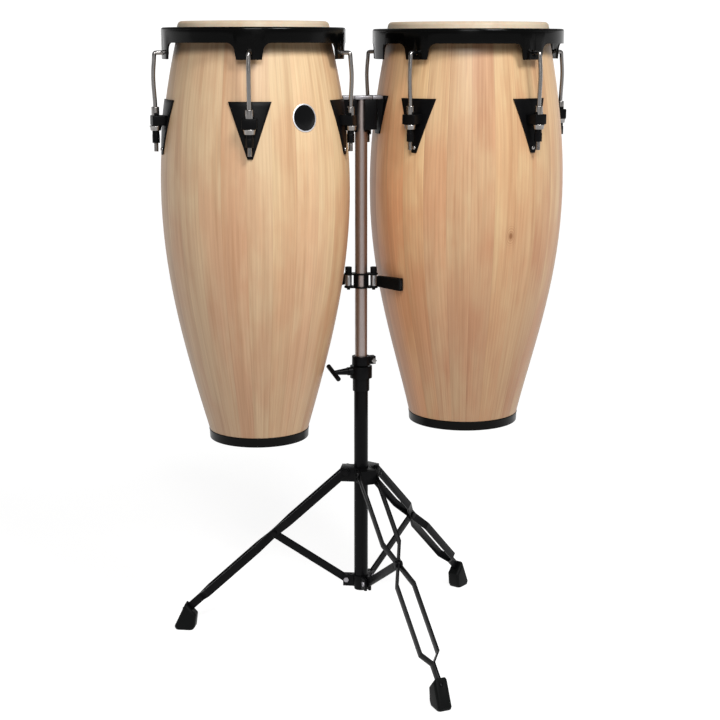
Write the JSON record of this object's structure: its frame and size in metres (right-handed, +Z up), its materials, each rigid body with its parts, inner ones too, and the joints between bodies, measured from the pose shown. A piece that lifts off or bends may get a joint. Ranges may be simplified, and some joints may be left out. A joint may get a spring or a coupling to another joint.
{
  "type": "conga drums on double stand",
  "caption": "Pair of barrel-shaped wooden hand drums with tunable hide heads, hung each side of a height-adjustable post on a folding braced tripod.",
  "frame": {"origin": "centre of the bounding box in plan, on the floor under the feet", "axes": "+Z up; -Y towards the player side that the front leg points to; +X to the right, towards the larger drum"},
  "size_m": [0.7309, 0.6229, 1.129],
  "materials": {
    "shell": "satin lacquered pale natural ash staves",
    "ring": "matt black rubber",
    "head": "dry translucent rawhide, cream",
    "black_steel": "semi-gloss black powder coat",
    "rod_steel": "bright plated steel",
    "post_steel": "chromed tube",
    "zinc_steel": "zinc plated steel",
    "black_plastic": "matt black nylon",
    "pad_rubber": "matt black rubber"
  },
  "bodies": {
    "base": {"base_tube": "black_steel", "tube_plug": "black_plastic", "height_collar": "black_steel", "brace_yoke": "black_steel", "yoke_pins": "rod_steel"},
    "bushing": {"bushing": "black_plastic"},
    "post": {"post": "post_steel", "hanger_sleeve": "black_steel", "post_cap": "black_plastic", "memory_lock": "black_steel"},
    "memory_bolt": {"memory_bolt": "rod_steel"},
    "height_handle": {"height_handle": "black_steel"},
    "stabiliser": {"stabiliser_clamp": "black_steel", "arm_bolts": "black_steel"},
    "left_arm": {"left_arm": "zinc_steel", "left_arm_pad": "pad_rubber"},
    "right_arm": {"right_arm": "zinc_steel", "right_arm_pad": "pad_rubber"},
    "leg_hub": {"leg_hub": "black_steel", "hub_pins": "black_steel"},
    "hub_screw": {"hub_screw": "black_plastic"},
    "front_leg": {"front_leg": "black_steel", "front_foot": "pad_rubber"},
    "front_brace": {"front_brace": "black_steel"},
    "right_leg": {"right_leg": "black_steel", "right_foot": "pad_rubber"},
    "right_brace": {"right_brace": "black_steel"},
    "left_leg": {"left_leg": "black_steel", "left_foot": "pad_rubber"},
    "left_brace": {"left_brace": "black_steel"},
    "left_drum": {"left_shell": "shell", "left_foot_ring": "ring", "left_head": "head", "left_rim": "black_steel", "left_tension_rods": "rod_steel", "left_side_plates": "black_steel", "left_washers": "rod_steel", "left_mount": "black_steel"},
    "left_nut_1": {"left_nut_1": "black_steel"},
    "left_nut_2": {"left_nut_2": "black_steel"},
    "left_nut_3": {"left_nut_3": "black_steel"},
    "left_nut_4": {"left_nut_4": "black_steel"},
    "left_nut_5": {"left_nut_5": "black_steel"},
    "right_drum": {"right_shell": "shell", "right_foot_ring": "ring", "right_head": "head", "right_rim": "black_steel", "right_tension_rods": "rod_steel", "right_side_plates": "black_steel", "right_washers": "rod_steel", "right_mount": "black_steel"},
    "right_nut_1": {"right_nut_1": "black_steel"},
    "right_nut_2": {"right_nut_2": "black_steel"},
    "right_nut_3": {"right_nut_3": "black_steel"},
    "right_nut_4": {"right_nut_4": "black_steel"},
    "right_nut_5": {"right_nut_5": "black_steel"}
  },
  "joints": [
    {"name": "post_swivel", "type": "hinge", "parent": "base", "child": "bushing", "pos_m": [-0.00945, 0.01968, 0.521], "axis": [0, 0, 1], "continuous": true},
    {"name": "height_slide", "type": "slide", "parent": "bushing", "child": "post", "axis": [0, 0, 1], "range_m": [0, 0.15]},
    {"name": "memory_bolt_turn", "type": "hinge", "parent": "post", "child": "memory_bolt", "pos_m": [0.01045, 0.02653, 0.53105], "axis": [-0.3256, 0.9455, 0], "continuous": true},
    {"name": "handle_turn", "type": "hinge", "parent": "base", "child": "height_handle", "pos_m": [-0.03372, 0.00784, 0.513], "axis": [-0.8988, -0.4384, 0], "continuous": true},
    {"name": "stabiliser_slide", "type": "slide", "parent": "post", "child": "stabiliser", "axis": [0, 0, 1], "range_m": [-0.11, 0]},
    {"name": "left_arm_swing", "type": "hinge", "parent": "stabiliser", "child": "left_arm", "pos_m": [-0.03195, 0.01968, 0.6775], "axis": [0, 0, 1], "range_deg": [-40, 0]},
    {"name": "right_arm_swing", "type": "hinge", "parent": "stabiliser", "child": "right_arm", "pos_m": [0.01304, 0.01968, 0.6775], "axis": [0, 0, 1], "range_deg": [-40, 0]},
    {"name": "leg_fold", "type": "slide", "parent": "base", "child": "leg_hub", "axis": [0, 0, 1], "range_m": [0, 0.125]},
    {"name": "hub_screw_turn", "type": "hinge", "parent": "leg_hub", "child": "hub_screw", "pos_m": [0.0131, 0.01707, 0.31872], "axis": [0.9934, -0.1149, 0], "continuous": true},
    {"name": "front_leg_turn", "type": "hinge", "parent": "leg_hub", "child": "front_leg", "pos_m": [0.00127, -0.0051, 0.32397], "axis": [0.9178, 0.3971, 0], "range_deg": [0, 33.33]},
    {"name": "front_brace_turn", "type": "hinge", "parent": "base", "child": "front_brace", "pos_m": [0.00127, -0.0051, 0.113], "axis": [-0.9178, -0.3971, 0], "range_deg": [0, 42.68]},
    {"name": "right_leg_turn", "type": "hinge", "parent": "leg_hub", "child": "right_leg", "pos_m": [0.00664, 0.04135, 0.32397], "axis": [-0.8028, 0.5962, 0], "range_deg": [0, 33.33]},
    {"name": "right_brace_turn", "type": "hinge", "parent": "base", "child": "right_brace", "pos_m": [0.00664, 0.04135, 0.113], "axis": [0.8028, -0.5962, 0], "range_deg": [0, 42.68]},
    {"name": "left_leg_turn", "type": "hinge", "parent": "leg_hub", "child": "left_leg", "pos_m": [-0.03628, 0.02278, 0.32397], "axis": [-0.1149, -0.9934, 0], "range_deg": [0, 33.33]},
    {"name": "left_brace_turn", "type": "hinge", "parent": "base", "child": "left_brace", "pos_m": [-0.03628, 0.02278, 0.113], "axis": [0.1149, 0.9934, 0], "range_deg": [0, 42.68]},
    {"name": "left_drum_lift", "type": "slide", "parent": "post", "child": "left_drum", "axis": [0, 0, 1], "range_m": [0, 0.08]},
    {"name": "left_nut_1_turn", "type": "hinge", "parent": "left_drum", "child": "left_nut_1", "pos_m": [-0.09272, 0.09762, 0.9393], "axis": [0, 0, 1], "continuous": true},
    {"name": "left_nut_2_turn", "type": "hinge", "parent": "left_drum", "child": "left_nut_2", "pos_m": [-0.2943, 0.0941, 0.9393], "axis": [0, 0, 1], "continuous": true},
    {"name": "left_nut_3_turn", "type": "hinge", "parent": "left_drum", "child": "left_nut_3", "pos_m": [-0.35324, -0.0987, 0.9393], "axis": [0, 0, 1], "continuous": true},
    {"name": "left_nut_4_turn", "type": "hinge", "parent": "left_drum", "child": "left_nut_4", "pos_m": [-0.1881, -0.21434, 0.9393], "axis": [0, 0, 1], "continuous": true},
    {"name": "left_nut_5_turn", "type": "hinge", "parent": "left_drum", "child": "left_nut_5", "pos_m": [-0.02708, -0.09301, 0.9393], "axis": [0, 0, 1], "continuous": true},
    {"name": "right_drum_lift", "type": "slide", "parent": "post", "child": "right_drum", "axis": [0, 0, 1], "range_m": [0, 0.08]},
    {"name": "right_nut_1_turn", "type": "hinge", "parent": "right_drum", "child": "right_nut_1", "pos_m": [0.07374, -0.06687, 0.9393], "axis": [0, 0, 1], "continuous": true},
    {"name": "right_nut_2_turn", "type": "hinge", "parent": "right_drum", "child": "right_nut_2", "pos_m": [0.29154, -0.06307, 0.9393], "axis": [0, 0, 1], "continuous": true},
    {"name": "right_nut_3_turn", "type": "hinge", "parent": "right_drum", "child": "right_nut_3", "pos_m": [0.35523, 0.14525, 0.9393], "axis": [0, 0, 1], "continuous": true},
    {"name": "right_nut_4_turn", "type": "hinge", "parent": "right_drum", "child": "right_nut_4", "pos_m": [0.17679, 0.27019, 0.9393], "axis": [0, 0, 1], "continuous": true},
    {"name": "right_nut_5_turn", "type": "hinge", "parent": "right_drum", "child": "right_nut_5", "pos_m": [0.00282, 0.13909, 0.9393], "axis": [0, 0, 1], "continuous": true}
  ],
  "couplings": [
    {"joint": "front_leg_turn", "follows": "leg_fold", "rad_per_m": 4.6472},
    {"joint": "front_brace_turn", "follows": "leg_fold", "rad_per_m": 5.9524},
    {"joint": "right_leg_turn", "follows": "leg_fold", "rad_per_m": 4.6472},
    {"joint": "right_brace_turn", "follows": "leg_fold", "rad_per_m": 5.9524},
    {"joint": "left_leg_turn", "follows": "leg_fold", "rad_per_m": 4.6472},
    {"joint": "left_brace_turn", "follows": "leg_fold", "rad_per_m": 5.9524}
  ]
}
